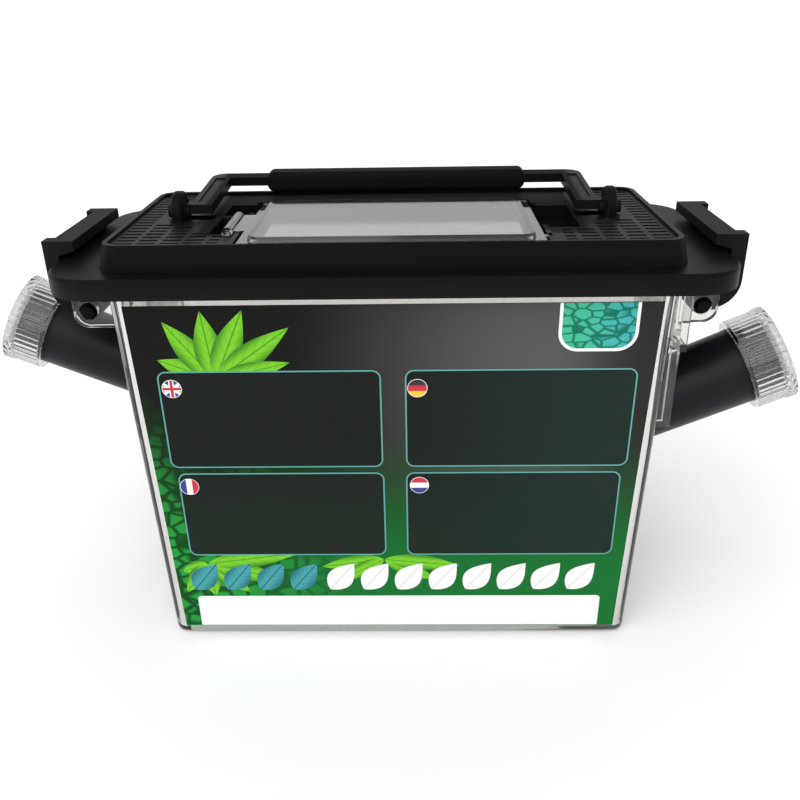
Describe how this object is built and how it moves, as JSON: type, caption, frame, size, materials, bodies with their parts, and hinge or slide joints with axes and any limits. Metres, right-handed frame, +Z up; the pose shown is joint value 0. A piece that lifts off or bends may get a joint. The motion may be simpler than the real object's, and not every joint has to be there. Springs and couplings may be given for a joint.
{
  "type": "cricket keeper box",
  "caption": "Clear insect keeper box with a vented black lid, hinged window flap, folding handle, side latches and sloping feeding tubes with ribbed caps.",
  "frame": {"origin": "centre of the tank's base, on the surface it stands on", "axes": "+X along the length to the right-hand end, +Y to the back with the label facing -Y, +Z up"},
  "size_m": [0.2546, 0.0838, 0.1385],
  "materials": {
    "clear_plastic": "clear glossy moulded plastic",
    "black_plastic": "satin black moulded plastic",
    "tube_plastic": "smooth black moulded plastic",
    "cap_plastic": "clear ribbed moulded plastic",
    "printed_film": "glossy printed film"
  },
  "bodies": {
    "tank": {"tank": "clear_plastic", "front_label": "printed_film"},
    "lid": {"lid": "black_plastic"},
    "window_flap": {"window_flap": "clear_plastic"},
    "handle": {"handle": "black_plastic"},
    "clip_left": {"clip_left": "black_plastic"},
    "clip_right": {"clip_right": "black_plastic"},
    "tube_left": {"tube_left": "tube_plastic"},
    "tube_right": {"tube_right": "tube_plastic"},
    "tube_cap_left": {"tube_cap_left": "cap_plastic"},
    "tube_cap_right": {"tube_cap_right": "cap_plastic"},
    "port_gate_left": {"port_gate_left": "clear_plastic"},
    "port_gate_right": {"port_gate_right": "clear_plastic"},
    "water_bowl": {"water_bowl": "black_plastic"},
    "water_bowl_grid": {"water_bowl_grid": "black_plastic"},
    "feeding_bowl": {"feeding_bowl": "black_plastic"}
  },
  "joints": [
    {"name": "lid_lift", "type": "slide", "parent": "tank", "child": "lid", "axis": [0, 0, 1], "range_m": [0, 0.0007]},
    {"name": "window_flap_hinge", "type": "hinge", "parent": "lid", "child": "window_flap", "pos_m": [-0.0467, 0, 0.13055], "axis": [0, -1, 0], "range_deg": [0, 100]},
    {"name": "handle_hinge", "type": "hinge", "parent": "lid", "child": "handle", "pos_m": [0, 0, 0.1325], "axis": [-1, 0, 0], "range_deg": [-168, 0]},
    {"name": "clip_right_hinge", "type": "hinge", "parent": "tank", "child": "clip_right", "pos_m": [0.0884, 0, 0.1092], "axis": [0, 1, 0], "range_deg": [0, 70]},
    {"name": "clip_left_hinge", "type": "hinge", "parent": "tank", "child": "clip_left", "pos_m": [-0.0884, 0, 0.1092], "axis": [0, -1, 0], "range_deg": [0, 70]},
    {"name": "tube_right_slide", "type": "slide", "parent": "tank", "child": "tube_right", "axis": [0.9157, 0, 0.4019], "range_m": [0, 0.125]},
    {"name": "tube_left_slide", "type": "slide", "parent": "tank", "child": "tube_left", "axis": [-0.9157, 0, 0.4019], "range_m": [-0.01, 0.115]},
    {"name": "tube_cap_right_pull", "type": "slide", "parent": "tube_right", "child": "tube_cap_right", "axis": [0.9157, 0, 0.4019], "range_m": [0, 0.02]},
    {"name": "tube_cap_left_pull", "type": "slide", "parent": "tube_left", "child": "tube_cap_left", "axis": [-0.9157, 0, 0.4019], "range_m": [0, 0.02]},
    {"name": "port_gate_right_slide", "type": "slide", "parent": "tank", "child": "port_gate_right", "axis": [0, 0, 1], "range_m": [0, 0.0023]},
    {"name": "port_gate_left_slide", "type": "slide", "parent": "tank", "child": "port_gate_left", "axis": [0, 0, 1], "range_m": [0, 0.0023]},
    {"name": "water_bowl_lift", "type": "slide", "parent": "tank", "child": "water_bowl", "axis": [0, 0, 1], "range_m": [0, 0.025]},
    {"name": "water_grid_lift", "type": "slide", "parent": "water_bowl", "child": "water_bowl_grid", "axis": [0, 0, 1], "range_m": [0, 0.012]},
    {"name": "feeding_bowl_lift", "type": "slide", "parent": "tank", "child": "feeding_bowl", "axis": [0, 0, 1], "range_m": [0, 0.03]}
  ]
}
